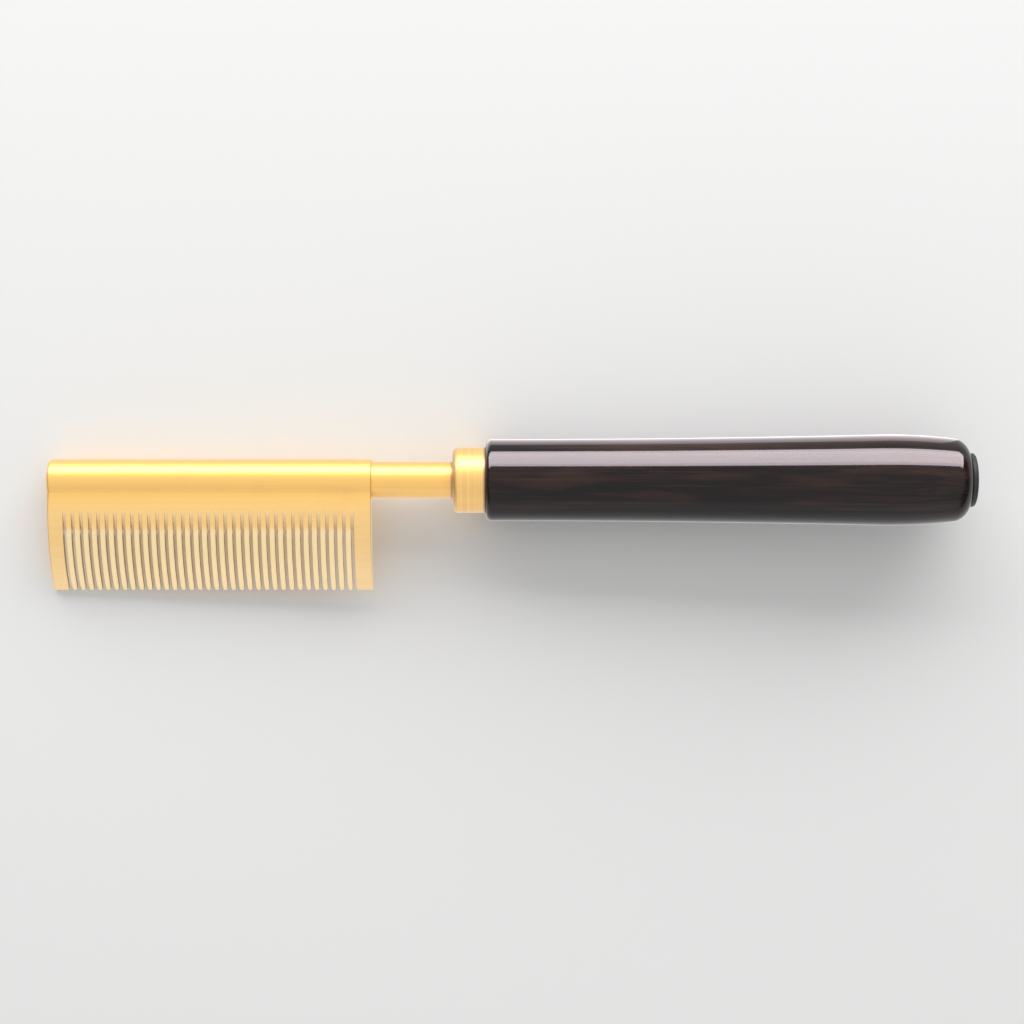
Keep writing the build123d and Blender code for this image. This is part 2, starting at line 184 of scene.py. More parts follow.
class Finishes(bpy.types.PropertyGroup):
    """Colours and gloss of the finishes"""

    comb_brass: tone("Comb brass", (0.95, 0.56, 0.1), "Polished brass of the comb head")
    shank_brass: tone("Shank brass", (0.96, 0.56, 0.1), "Polished brass of the shank")
    ferrule_brass: tone("Ferrule brass", (0.95, 0.565, 0.095), "Turned brass of the ferrule")
    # Paler brass for the web, blended in from 5 mm below the barrel's axis down towards the teeth.
    paler_web_brass: tone("Ground brass", (0.94, 0.615, 0.2), "Brass of the web, ground flat")
    sawn_brass: tone("Sawn brass", (0.98, 0.745, 0.385), "Brass of the teeth, where the saw has cut it")
    tarnish: tone("Tarnish", (0.66, 0.35, 0.1), "Brass where it has been handled")
    # Painted shade colour: laid on the lower slot walls, on the ferrule's front and at the joints by
    # the ferrule, where shade falls.
    painted_shade: tone("Soot", (0.34, 0.185, 0.07), "Brass darkened by heat in the slots and in its corners")
    wood: tone("Stained wood", (0.006, 0.003, 0.003), "Stained wood between the grain lines")
    grain: tone("Grain", (0.05, 0.021, 0.015), "Grain of the wood under the lacquer")
    rubber: tone("Rubber", (0.018, 0.018, 0.019), "Rubber of the cord bush")
    steel: tone("Steel", (0.52, 0.51, 0.5), "Drawn steel of the heater's sheath")
    mica: tone("Mica", (0.55, 0.47, 0.36), "Pressed mica")
    ceramic: tone("Ceramic", (0.8, 0.77, 0.7), "Unglazed ceramic")
    wire: tone("Wire", (0.36, 0.34, 0.32), "Oxidised resistance wire")
    braid: tone("Braid", (0.72, 0.7, 0.64), "Woven glass sleeving")
    can: tone("Can", (0.7, 0.71, 0.72), "Drawn can of the thermal fuse")
    tin: tone("Tin", (0.66, 0.65, 0.63), "Tinned copper")
    brass_gloss: share("Brass roughness", 0.46, "Roughness of the polished brass")
    lacquer_gloss: share("Lacquer roughness", 0.08, "Roughness of the lacquer")


class StageSettings(bpy.types.PropertyGroup):
    """The floor, the lamps and the camera"""

    floor: tone("Floor", (0.84, 0.84, 0.835), "Colour of the floor")
    surround: tone("Surround", (0.97, 0.97, 0.98), "What polished metal mirrors round the tool")
    dark_ends: share("Dark ends", 0.75, "How much darker what is mirrored gets beyond the tool's ends")
    fill: share("Fill", 0.6, "Strength of the light from all round")
    broad_lamp: power("Broad lamp", 22.0, "Power of the broad lamp on the far side")
    near_lamp: power("Near lamp", 0.8, "Power of the weak lamp on the near side")
    gloss_lamp: power("Gloss lamp", 130.0, "Power of the lamp that only shows in the lacquer")
    rim_lamp: power("Rim lamp", 0.03, "Power of the strip that only shows in the lacquer")
    gloss_tone: tone("Gloss tone", (1.0, 0.86, 0.92), "Colour of those two lamps")
    floor_gap: length("Floor gap", 0.15, "How far the floor lies under what rests on it")
    camera_height: length("Camera height", 700.0, "From the tool's axis to the camera")
    camera_shift: length("Camera shift", 9.5, "From the tool's axis towards the teeth")
    camera_view: length("View width", 304.0, "Width that the camera sees at the tool's axis")


# --- node trees ---


class Wire:
    """The output of a node. Arithmetic on it adds Math nodes to its tree and gives their output."""

    def __init__(self, bench, socket):
        self.bench = bench
        self.socket = socket

    def __add__(self, other):
        return self.bench.maths("ADD", self, other)

    def __radd__(self, other):
        return self.bench.maths("ADD", other, self)

    def __sub__(self, other):
        return self.bench.maths("SUBTRACT", self, other)

    def __rsub__(self, other):
        return self.bench.maths("SUBTRACT", other, self)

    def __mul__(self, other):
        return self.bench.maths("MULTIPLY", self, other)

    def __rmul__(self, other):
        return self.bench.maths("MULTIPLY", other, self)

    def __pow__(self, other):
        return self.bench.maths("POWER", self, other)

    def __abs__(self):
        return self.bench.maths("ABSOLUTE", self)


class Bench:
    """A node tree, and one method that adds any node to it."""

    def __init__(self, tree):
        self.tree = tree
        tree.nodes.clear()

    def node(self, kind, sockets, output=0, **settings):
        """Adds a node with its settings, then joins or fills its sockets, and gives one output."""
        node = self.tree.nodes.new(kind)
        for setting, value in settings.items():
            setattr(node, setting, value)
        for socket, values in sockets.items():
            for value in values if isinstance(values, list) else [values]:
                if isinstance(value, Wire):
                    self.tree.links.new(value.socket, node.inputs[socket])
                else:
                    node.inputs[socket].default_value = value
        return Wire(self, node.outputs[output]) if len(node.outputs) else None

    def maths(self, operation, *values):
        """A Math node on one or two values."""
        return self.node("ShaderNodeMath", dict(enumerate(values)), operation=operation)

    def largest(self, value, *others):
        """The largest of some values, as where masks lie over each other."""
        for other in others:
            value = self.maths("MAXIMUM", value, other)
        return value

    def ray(self, kind):
        """1 for rays of one kind, and 0 for all others."""
        return self.node("ShaderNodeLightPath", {}, output=f"Is {kind} Ray")

    def axes(self, vector):
        """The X, Y and Z of a vector, as three wires."""
        parts = self.node("ShaderNodeSeparateXYZ", {0: vector}).socket.node
        return [Wire(self, part) for part in parts.outputs]

    def between(self, value, low, high):
        """Maps a value that runs from low to high smoothly onto 0 to 1, and no further."""
        sockets = {"Value": value, "From Min": low, "From Max": high}
        return self.node("ShaderNodeMapRange", sockets, interpolation_type="SMOOTHSTEP")

    def blend(self, factor, first, second):
        """Mixes two colours, each a wire or three numbers."""
        first, second = (c if isinstance(c, Wire) else rgba(c) for c in (first, second))
        sockets = {0: factor, 6: first, 7: second}
        return self.node("ShaderNodeMix", sockets, output=2, data_type="RGBA")


class Finish(Bench):
    """A material on the piece's own coordinates, in metres along X, Y and Z."""

    def __init__(self, name):
        self.material = bpy.data.materials.new(name)
        self.material.use_nodes = True
        super().__init__(self.material.node_tree)
        self.place = self.node("ShaderNodeTexCoord", {}, output="Object")
        self.relief = None

    def facing(self):
        """How far the surface faces along each of the piece's own axes."""
        return self.axes(self.node("ShaderNodeTexCoord", {}, output="Normal"))

    def noise(self, along, across, detail=3.0, roughness=0.5, shift=0.0):
        """Noise whose features are about so many millimetres long along X, and wide across it."""
        scale = (1000 / along, 1000 / across, 1000 / across)
        sockets = {"Vector": self.place, "Scale": scale, "Location": (shift, shift, 0)}
        stretched = self.node("ShaderNodeMapping", sockets)
        sockets = {"Vector": stretched, "Scale": 1.0, "Detail": detail, "Roughness": roughness}
        return self.node("ShaderNodeTexNoise", sockets, output="Fac")

    def patches(self, along, across, low, high, **kind):
        """Noise made into patches: 0 where it is below low, and 1 where it is above high."""
        return self.between(self.noise(along, across, **kind), low, high)

    def line_noise(self, position, width, detail=3.0):
        """Noise that changes with one position only, in lines about so many millimetres wide."""
        sockets = {"W": position * (1000 / width), "Scale": 1.0, "Detail": detail, "Roughness": 0.6}
        return self.node("ShaderNodeTexNoise", sockets, output="Fac", noise_dimensions="1D")

    def raise_by(self, height, microns, strength=1.0):
        """Adds relief, up to so many thousandths of a millimetre, on top of what there is."""
        sockets = {"Height": height, "Distance": microns * 1e-6, "Strength": strength}
        if self.relief is not None:
            sockets["Normal"] = self.relief
        self.relief = self.node("ShaderNodeBump", sockets)

    def done(self, **sockets):
        """Ends the material in its shader."""
        named = {name.replace("_", " "): value for name, value in sockets.items()}
        if self.relief is not None:
            named["Normal"] = self.relief
        shader = self.node("ShaderNodeBsdfPrincipled", named)
        self.node("ShaderNodeOutputMaterial", {"Surface": shader})
        return self.material

    def done_in_brass(self, colour, rough, bright=1.0, bright_rough=0.3, bright_ior=1.9):
        """Ends the material as polished brass, with a clear bright layer on its colour."""
        coat = {"Coat_Weight": bright, "Coat_Roughness": bright_rough, "Coat_IOR": bright_ior}
        return self.done(Base_Color=colour, Metallic=1.0, Roughness=rough, **coat)


def rgba(colour):
    """A colour with its alpha."""
    return (*colour, 1.0)


# --- finishes ---


def comb_brass_finish(looks, sizes):
    """Brass polished along the barrel, with the arcs of the saw on the walls of its slots and painted
    shade on those walls where the slots go through.
    """
    finish = Finish("comb_brass")
    x, y, z = finish.axes(finish.place)
    across, down, _ = finish.facing()
    half = ((sizes.slots - 1) * sizes.pitch + sizes.slot) / 2
    from_middle = abs(x - (HEAD_NOSE + sizes.nose_guard + half))
    web_top, back = -0.005, -sizes.slot_back
    walls = finish.between(abs(across), 0.75, 0.92)
    walls = walls * finish.between(from_middle, half + 0.001, half + 0.0006)
    through = finish.between(y, back + 0.001, back - 0.0025)
    teeth = finish.between(y, back + 0.0018, back - 0.0014)
    teeth = teeth * finish.between(from_middle, half, half - sizes.slot)
    guards = finish.between(y, back, -sizes.reach) * 0.5
    saw_centre = saw_path(sizes)[2]
    from_saw = ((y - saw_centre.x) ** 2.0 + (z - saw_centre.y) ** 2.0) ** 0.5
    marks = finish.line_noise(from_saw, 0.12)
    on_rim = finish.between(abs(from_saw - sizes.saw / 2), 0.0003, 0.0001)
    roots = finish.between(down, -0.3, -0.42) * on_rim * finish.between(y, back - 0.0004, back)
    # Paler towards the lower web: the colour goes over to the paler web brass from 5 mm to 13 mm below
    # the axis.
    ground = finish.between(y, web_top, -0.0056) * 0.35 + finish.between(y, web_top, -0.013) * 0.65
    polish = finish.noise(20, 0.18)
    strokes = finish.patches(60, 1.1, 0.3, 0.7, detail=4.0, roughness=0.6)
    worn = finish.patches(16, 12, 0.5, 0.78, detail=4.0, roughness=0.62)
    colour = finish.blend(ground, looks.comb_brass, looks.paler_web_brass)
    colour = finish.blend(worn * 0.14 + strokes * 0.1, colour, looks.tarnish)
    colour = finish.blend(finish.largest(teeth, guards, roots, walls), colour, looks.sawn_brass)
    # Painted shade: the slot walls below the line where the slots go through take the painted shade
    # colour.
    colour = finish.blend(walls * through * 0.85, colour, looks.painted_shade)
    rough = looks.brass_gloss + worn * 0.05 + strokes * 0.06 + walls * 0.1
    rough = rough + finish.between(polish, 0.35, 0.7) * 0.04
    finish.raise_by(polish, 1)
    finish.raise_by(marks * walls, 8)
    # The clear layer is taken off where that painted shade lies, which darkens those walls further.
    return finish.done_in_brass(colour, rough, bright=1.0 - walls * through)


def shank_brass_finish(looks):
    """Drawn brass tube, polished round by hand, with fine lines both ways and a painted shade ring
    where it enters the ferrule.
    """
    finish = Finish("shank_brass")
    x, _, _ = finish.axes(finish.place)
    rings = finish.line_noise(x, 0.16)
    drawn = finish.noise(30, 0.3)
    strokes = finish.patches(60, 0.9, 0.3, 0.7, detail=4.0, roughness=0.6)
    worn = finish.patches(10, 8, 0.52, 0.8, detail=4.0, roughness=0.6)
    colour = finish.blend(worn * 0.15 + strokes * 0.14, looks.shank_brass, looks.tarnish)
    # Painted shade: a dark ring on the tube just where it enters the ferrule.
    painted_seam_shade = finish.between(abs(x - FERRULE_FRONT), 0.0008, 0.0002)
    colour = finish.blend(painted_seam_shade * 0.8, colour, looks.painted_shade)
    rough = looks.brass_gloss + worn * 0.06 + strokes * 0.06 + finish.between(drawn, 0.35, 0.7) * 0.04
    finish.raise_by(drawn, 2)
    finish.raise_by(rings, 2.5)
    return finish.done_in_brass(colour, rough)


def ferrule_brass_finish(looks):
    """Brass turned on a lathe, with fine rings over its side, corner and front, and painted shade on
    its front and next to the shoulder.
    """
    finish = Finish("ferrule_brass")
    x, y, z = finish.axes(finish.place)
    rearwards, _, _ = finish.facing()
    over_corner = x + (y * y + z * z) ** 0.5
    rings = finish.line_noise(over_corner, 0.14, detail=4.0)
    broad = finish.between(finish.line_noise(over_corner, 0.7, detail=1.0), 0.35, 0.65)
    worn = finish.patches(6, 8, 0.52, 0.8, detail=4.0, roughness=0.6)
    colour = finish.blend(worn * 0.2 + broad * 0.42, looks.ferrule_brass, looks.tarnish)
    # Painted shade: the faces that look forwards, and a band just before the rear rim at the shoulder,
    # take the painted shade colour.
    front = finish.between(rearwards, -0.2, -1.0) * 0.5
    painted_seam_shade = finish.between(x, SHOULDER - 0.0009, SHOULDER - 0.0004) * 0.8
    colour = finish.blend(finish.largest(front, painted_seam_shade), colour, looks.painted_shade)
    rough = looks.brass_gloss + finish.between(rings, 0.3, 0.7) * 0.09 + worn * 0.05
    finish.raise_by(rings, 3.5)
    finish.raise_by(broad, 6)
    return finish.done_in_brass(colour, rough, bright_rough=0.35, bright_ior=2.1)


def lacquered_wood_finish(looks):
    """Close-grained wood, stained nearly black, under a thick gloss lacquer."""
    finish = Finish("lacquered_wood")
    fibres = finish.noise(30, 0.7, detail=5.0, roughness=0.6)
    figure = finish.noise(70, 5, roughness=0.55, shift=3.7)
    pores = finish.patches(3.5, 0.22, 0.66, 0.74, detail=2.0)
    swell = finish.noise(12, 4, detail=2.0, shift=1.3)
    grain = finish.between(fibres * 0.6 + figure * 0.4, 0.46, 0.66)
    warm = finish.patches(35, 6, 0.46, 0.66, detail=2.0, shift=2.1)
    colour = finish.blend(grain * 0.5 + warm * 0.45, looks.wood, looks.grain)
    colour = finish.blend(pores * 0.6, colour, [c * 0.5 for c in looks.wood])
    finish.raise_by(swell, 30)
    finish.raise_by(fibres, 3)
    finish.raise_by(pores, 6, strength=0.5)
    coat = {"Coat_Weight": 1.0, "Coat_Roughness": looks.lacquer_gloss, "Coat_IOR": 1.35}
    rough = 0.16 + grain * 0.1
    return finish.done(Base_Color=colour, Roughness=rough, Specular_IOR_Level=0.0, **coat)


def moulded_rubber_finish(looks):
    """Moulded rubber with the fine grain of a blasted mould."""
    finish = Finish("black_rubber")
    bloom = finish.patches(4, 4, 0.45, 0.75)
    colour = finish.blend(bloom * 0.4, looks.rubber, (0.05, 0.049, 0.048))
    finish.raise_by(finish.noise(0.2, 0.2), 15)
    return finish.done(Base_Color=colour, Roughness=0.48 + bloom * 0.12)


def drawn_metal_finish(name, colour, dark, gloss):
    """Metal drawn or rolled along the tool, with fine lengthwise lines and a little oxide."""
    finish = Finish(name)
    lines = finish.noise(20, 0.2)
    oxide = finish.patches(4, 3, 0.5, 0.75, detail=4.0)
    tint = finish.blend(oxide * 0.5, colour, dark)
    finish.raise_by(lines, 3)
    return finish.done(Base_Color=tint, Metallic=1.0, Roughness=gloss + lines * 0.12 + oxide * 0.08)


def wound_wire_finish(looks):
    """Close turns of resistance wire, as ridges round the former."""
    finish = Finish("resistance_wire")
    x, _, _ = finish.axes(finish.place)
    turn_pitch = 0.0006
    scale = finish.patches(2, 2, 0.45, 0.7)
    colour = finish.blend(scale * 0.6, looks.wire, (0.12, 0.11, 0.105))
    finish.raise_by(finish.maths("SINE", x * (2 * pi / turn_pitch)), 120)
    return finish.done(Base_Color=colour, Metallic=1.0, Roughness=0.4 + scale * 0.15)


def pressed_mica_finish(looks):
    """Flakes of mica pressed into a sheet, each with its own tone and gloss."""
    finish = Finish("mica")
    cells = {"Vector": finish.place, "Scale": 700.0}
    flakes = finish.node("ShaderNodeTexVoronoi", cells, output="Distance")
    colour = finish.blend(finish.patches(2, 2, 0.35, 0.7), looks.mica, (0.38, 0.3, 0.2))
    finish.raise_by(flakes, 30)
    return finish.done(Base_Color=colour, Roughness=0.3 + finish.between(flakes, 0.0, 0.8) * 0.25)


def ceramic_finish(looks):
    """Unglazed ceramic with a fine sandy grain."""
    finish = Finish("ceramic")
    stain = finish.patches(5, 5, 0.5, 0.75)
    colour = finish.blend(stain * 0.35, looks.ceramic, (0.62, 0.55, 0.45))
    finish.raise_by(finish.noise(0.25, 0.25), 20)
    return finish.done(Base_Color=colour, Roughness=0.6 + stain * 0.15)


def glass_braid_finish(looks):
    """Glass sleeving: strands that cross over and under each other along the lead."""
    finish = Finish("glass_braid")
    x, y, z = finish.axes(finish.place)
    along = x * 3600.0
    round_lead = finish.maths("ARCTAN2", z, y) * 8.0
    over = finish.maths("SINE", along + round_lead)
    under = finish.maths("SINE", along - round_lead)
    weave = finish.between(over * under, -1.0, 1.0)
    colour = finish.blend(weave, [c * 0.62 for c in looks.braid], looks.braid)
    finish.raise_by(weave, 60)
    return finish.done(Base_Color=colour, Roughness=0.75 - weave * 0.15)


# --- shapes ---


def rounded(corners, steps=8):
    """Turns corners (along, up, rounding) into points, with an arc at each that has a rounding."""
    points = []
    for i, (along, up, rounding) in enumerate(corners):
        corner = Vector((along, up))
        if not rounding:
            points.append(corner)
            continue
        back = (Vector(corners[i - 1][:2]) - corner).normalized()
        ahead = (Vector(corners[(i + 1) % len(corners)][:2]) - corner).normalized()
        half = acos(max(-1.0, min(1.0, back.dot(ahead)))) / 2
        centre = corner + (back + ahead).normalized() * (rounding / sin(half))
        start = corner + back * (rounding / tan(half)) - centre
        end = corner + ahead * (rounding / tan(half)) - centre
        points += swing(centre, start, end, steps)
    return points


def arc(centre, start, turn, steps):
    """Points round a centre, from centre + start, turning clockwise by turn where it is positive."""
    points = []
    for i in range(steps + 1):
        c, s = cos(-turn * i / steps), sin(-turn * i / steps)
        points.append(centre + Vector((start.x * c - start.y * s, start.x * s + start.y * c)))
    return points


def swing(centre, start, end, steps):
    """Points round a centre, from centre + start the short way to the direction of end."""
    return arc(centre, start, start.angle_signed(end), steps)


def sweep(start, heading, end):
    """The centre and the radius of the arc that leaves start along heading and ends at end."""
    chord = end - start
    side = Vector((-heading.y, heading.x))
    radius = chord.length_squared / (2 * chord.dot(side))
    return start + side * radius, abs(radius)


def turned(name, outline, sides=160):
    """Turns a closed outline of (place along X, radius) about the tool's axis."""
    shape = bmesh.new()
    rings = []
    for along, radius in outline:
        if not radius:
            rings.append([shape.verts.new((along, 0, 0))])
            continue
        angles = [2 * pi * i / sides for i in range(sides)]
        rings.append([shape.verts.new((along, radius * sin(a), radius * cos(a))) for a in angles])
    for here, there in zip(rings, rings[1:] + rings[:1]):
        for i in range(sides):
            around = ((here, i), (here, i + 1), (there, i + 1), (there, i))
            corners = list(dict.fromkeys(ring[k % len(ring)] for ring, k in around))
            if len(corners) > 2:
                shape.faces.new(corners)
    return closed(name, shape)


def bridge(shape, here, there):
    """Joins two closed loops of as many corners by a band of faces."""
    for i in range(len(here)):
        j = (i + 1) % len(here)
        shape.faces.new((here[i], here[j], there[j], there[i]))


def closed(name, shape):
    """Makes a mesh of a closed shape, with its faces pointing outwards."""
    bmesh.ops.recalc_face_normals(shape, faces=shape.faces)
    mesh = bpy.data.meshes.new(name)
    shape.to_mesh(mesh)
    shape.free()
    return mesh


def put(data):
    """Puts a mesh, a lamp or a camera in the scene, as an object with the same name."""
    thing = bpy.data.objects.new(data.name, data)
    bpy.context.scene.collection.objects.link(thing)
    return thing


def settle(thing):
    """Makes what the modifiers give into the object's plain mesh."""
    evaluated = thing.evaluated_get(bpy.context.evaluated_depsgraph_get())
    mesh = bpy.data.meshes.new_from_object(evaluated)
    mesh.name = thing.name
    thing.modifiers.clear()
    thing.data = mesh


def dress(thing, material, slot, *nodes):
    """Gives a finished piece its material and its place on the body, and hides the CAD nodes it stands
    for.
    """
    mesh = thing.data
    mesh.materials.clear()
    mesh.materials.append(material)
    mesh.polygons.foreach_set("material_index", [0] * len(mesh.polygons))
    if not mesh.has_custom_normals:
        mesh.shade_smooth()
        mesh.set_sharp_from_angle(angle=SHARP_TURN)
    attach(thing, "root")
    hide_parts(*nodes)


# --- comb head, shank and ferrule ---


def tip_turn(sizes):
    """How far the web has turned away from the vertical at the tooth tips."""
    return asin((sizes.reach - sizes.curve_drop - sizes.tip / 2) / sizes.curve_radius)


def web_point(sizes, side, turn):
    """A point, in Y and Z, of the web's face (side 1) or back (side -1) after so much turn."""
    half = (sizes.web + (sizes.tip - sizes.web) * turn / tip_turn(sizes)) / 2
    radius = sizes.curve_radius + side * half
    along = -sizes.curve_drop - radius * sin(turn)
    return Vector((along, sizes.web_offset + radius * cos(turn) - sizes.curve_radius))


def web_at_drop(sizes, side, drop):
    """The point of the web's face or back that lies so far below the barrel's axis."""
    radius = sizes.curve_radius + side * sizes.web / 2
    return web_point(sizes, side, asin(max(drop - sizes.curve_drop, 0) / radius))


def saw_path(sizes):
    """Where the saw's rim goes in at the face and comes out at the back, and its centre."""
    start = web_at_drop(sizes, 1, sizes.slot_face)
    end = web_at_drop(sizes, -1, sizes.slot_back)
    chord = end - start
    side = Vector((chord.y, -chord.x)).normalized()
    centre = (start + end) / 2 + side * sqrt((sizes.saw / 2) ** 2 - chord.length_squared / 4)
    return start, end, centre


def head_outline(sizes):
    """The section of barrel and web in Y and Z, once round, starting on the face side."""
    barrel, fillet, turn = sizes.barrel / 2, sizes.root_fillet, tip_turn(sizes)
    face_z = sizes.web_offset + sizes.web / 2 + fillet
    back_z = sizes.web_offset - sizes.web / 2 - fillet
    face_centre = Vector((-sqrt((barrel + fillet) ** 2 - face_z**2), face_z))
    back_centre = Vector((-sqrt((barrel + fillet) ** 2 - back_z**2), back_z))
    start = face_centre.normalized() * barrel
    round_barrel = atan2(face_centre.y, face_centre.x) - atan2(back_centre.y, back_centre.x)
    points = arc(Vector((0, 0)), start, round_barrel % (2 * pi), BARREL_STEPS)[:-1]
    points += swing(back_centre, -back_centre.normalized() * fillet, Vector((0, 1)), steps=14)
    turns = [turn * i / WEB_STEPS for i in range(WEB_STEPS + 1)]
    points += [web_point(sizes, -1, t) for t in turns]
    tip = (web_point(sizes, 1, turn) + web_point(sizes, -1, turn)) / 2
    points += arc(tip, web_point(sizes, -1, turn) - tip, pi, steps=12)[1:-1]
    points += [web_point(sizes, 1, t) for t in reversed(turns)]
    return points + swing(face_centre, Vector((0, -fillet)), -face_centre, steps=8)[:-1]


def head_blank(sizes):
    """The brass before it is sawn: barrel and web in one, with rounded ends."""
    outline = head_outline(sizes)
    count = len(outline)
    inward = []
    for i in range(count):
        along = (outline[(i + 1) % count] - outline[i - 1]).normalized()
        inward.append(Vector((along.y, -along.x)))
    nose_rounds = []
    change_starts, change_length = 0.004, 0.006
    for point in outline:
        down = min(max((-point.x - change_starts) / change_length, 0.0), 1.0)
        down = down * down * (3 - 2 * down)
        nose_rounds.append(sizes.nose_round + (sizes.web_round - sizes.nose_round) * down)
    rear_rounds = [sizes.rear_round] * count
    shape = bmesh.new()
    rings = []
    for end, outwards, rounds in ((HEAD_NOSE, -1, nose_rounds), (HEAD_REAR, 1, rear_rounds)):
        lap = []
        for step in range(END_STEPS + 1):
            a = pi / 2 * step / END_STEPS
            ring = []
            for point, normal, r in zip(outline, inward, rounds):
                place = point + normal * (r * (1 - sin(a)))
                ring.append(shape.verts.new((end - outwards * r * (1 - cos(a)), place.x, place.y)))
            lap.append(ring)
        rings += lap if outwards < 0 else reversed(lap)
    for here, there in zip(rings, rings[1:]):
        bridge(shape, here, there)
    shape.faces.new(rings[0])
    shape.faces.new(reversed(rings[-1]))
    return closed("sawn_comb_head", shape)


def saw_cut(sizes):
    """What one saw cut clears, centred on X = 0, wider where the tips are relieved."""
    start, end, centre = saw_path(sizes)
    half = sizes.slot / 2
    root = swing(centre, start - centre, end - centre, steps=17)
    start += (root[0] - root[1]).normalized() * sizes.overrun
    end += (root[-1] - root[-2]).normalized() * sizes.overrun
    root = [start, *root, end]
    levels = []
    for i in range(RELIEF_STEPS + 1):
        t = i / RELIEF_STEPS
        opened = half + sizes.relief * t**RELIEF_CURVE
        levels.append((sizes.relief_length * (1 - t) - sizes.reach, opened))
    levels.append((-sizes.reach - sizes.web, half + sizes.relief))
    floor_z = web_point(sizes, -1, tip_turn(sizes)).y - sizes.web
    face_z = sizes.web_offset + sizes.web
    low = levels[-1][0]
    back, front = [], []
    for y, width in levels:
        back.append((y, end.y + (floor_z - end.y) * (y - end.x) / (low - end.x), width))
        front.append((y, face_z + (start.y - face_z) * (y - low) / (start.x - low), width))
    shape = bmesh.new()
    sheets = []
    for side in (-1, 1):
        rim = [shape.verts.new((side * half, p.x, p.y)) for p in root]
        a = [shape.verts.new((side * w, y, z)) for y, z, w in back]
        b = [shape.verts.new((side * w, y, z)) for y, z, w in front]
        shape.faces.new(rim + [a[0], b[0]])
        for i in range(len(levels) - 1):
            shape.faces.new((a[i], a[i + 1], b[i + 1], b[i]))
        sheets.append(rim + a + b[::-1])
    bridge(shape, *sheets)
    return closed("saw_cut", shape)


def saw_slots(blank, cutter, bores, brass, sizes):
    """Cuts the slots, which all come from one saw cut, and the bores out of the blank."""
    tree = bpy.data.node_groups.new("Saw the slots", "GeometryNodeTree")
    bench = Bench(tree)
    wanted = {
        "Blank": ("NodeSocketGeometry", None),
        "Saw cut": ("NodeSocketObject", cutter),
        "Bores": ("NodeSocketObject", bores),
        "Slots": ("NodeSocketInt", sizes.slots),
        "Pitch": ("NodeSocketFloat", sizes.pitch),
        "First slot": ("NodeSocketFloat", HEAD_NOSE + sizes.nose_guard + sizes.slot / 2),
        "Brass": ("NodeSocketMaterial", brass),
    }
    keys = {}
    for name, (kind, _) in wanted.items():
        keys[name] = tree.interface.new_socket(name, in_out="INPUT", socket_type=kind).identifier
    tree.interface.new_socket("Head", in_out="OUTPUT", socket_type="NodeSocketGeometry")
    given = {name: bench.node("NodeGroupInput", {}, output=name) for name in wanted}
    start = bench.node("ShaderNodeCombineXYZ", {"X": given["First slot"]})
    step = bench.node("ShaderNodeCombineXYZ", {"X": given["Pitch"]})
    sockets = {"Count": given["Slots"], "Start Location": start, "Offset": step}
    line = bench.node("GeometryNodeMeshLine", sockets, mode="OFFSET")
    cut = bench.node("GeometryNodeObjectInfo", {"Object": given["Saw cut"]}, output="Geometry")
    bore = bench.node("GeometryNodeObjectInfo", {"Object": given["Bores"]}, output="Geometry")
    cuts = bench.node("GeometryNodeInstanceOnPoints", {"Points": line, "Instance": cut})
    sockets = {"Mesh 1": given["Blank"], "Mesh 2": [cuts, bore]}
    sawn = bench.node("GeometryNodeMeshBoolean", sockets, operation="DIFFERENCE", solver="EXACT")
    real = bench.node("GeometryNodeRealizeInstances", {"Geometry": sawn})
    painted = bench.node("GeometryNodeSetMaterial", {"Geometry": real, "Material": given["Brass"]})
    bench.node("NodeGroupOutput", {"Head": painted})
    modifier = blank.modifiers.new("Saw the slots", "NODES")
    modifier.node_group = tree
    for name, (_, value) in wanted.items():
        if value is not None:
            modifier[keys[name]] = value


class HOTCOMB_OT_comb_head(bpy.types.Operator):
    """Make the comb head: the barrel with its web, the saw-cut teeth and the heater bore"""

    bl_idname = "hotcomb.comb_head"
    bl_label = "Comb head"

    def execute(self, context):
        sizes = context.scene.hotcomb_head
        looks = context.scene.hotcomb_finishes
        brass = comb_brass_finish(looks, sizes)
        head = put(head_blank(sizes))
        cutter = put(saw_cut(sizes))
        heater, socket = sizes.heater_bore / 2, sizes.socket_bore / 2
        blind_end, beyond = HEAD_NOSE + sizes.nose_wall, HEAD_REAR + sizes.pitch
        section = [(beyond, 0), (beyond, socket), (SHANK_FRONT, socket)]
        section += [(SHANK_FRONT, heater), (blind_end, heater), (blind_end, 0)]
        bores = put(turned("head_bores", section, sides=96))
        saw_slots(head, cutter, bores, brass, sizes)
        settle(head)
        for helper in (cutter, bores):
            bpy.data.objects.remove(helper)
        shape = bmesh.new()
        shape.from_mesh(head.data)
        bmesh.ops.remove_doubles(shape, verts=shape.verts, dist=1e-6)
        shape.to_mesh(head.data)
        shape.free()
        edges = head.modifiers.new("Broken edges", "BEVEL")
        edges.width = sizes.edge
        edges.segments = 2
        edges.limit_method = "ANGLE"
        edges.angle_limit = SHARP_TURN
        head.data.shade_smooth()
        even = head.modifiers.new("Even shading", "WEIGHTED_NORMAL")
        even.keep_sharp = True
        settle(head)
        dress(head, brass, "comb_brass", "comb_head")
        return {"FINISHED"}


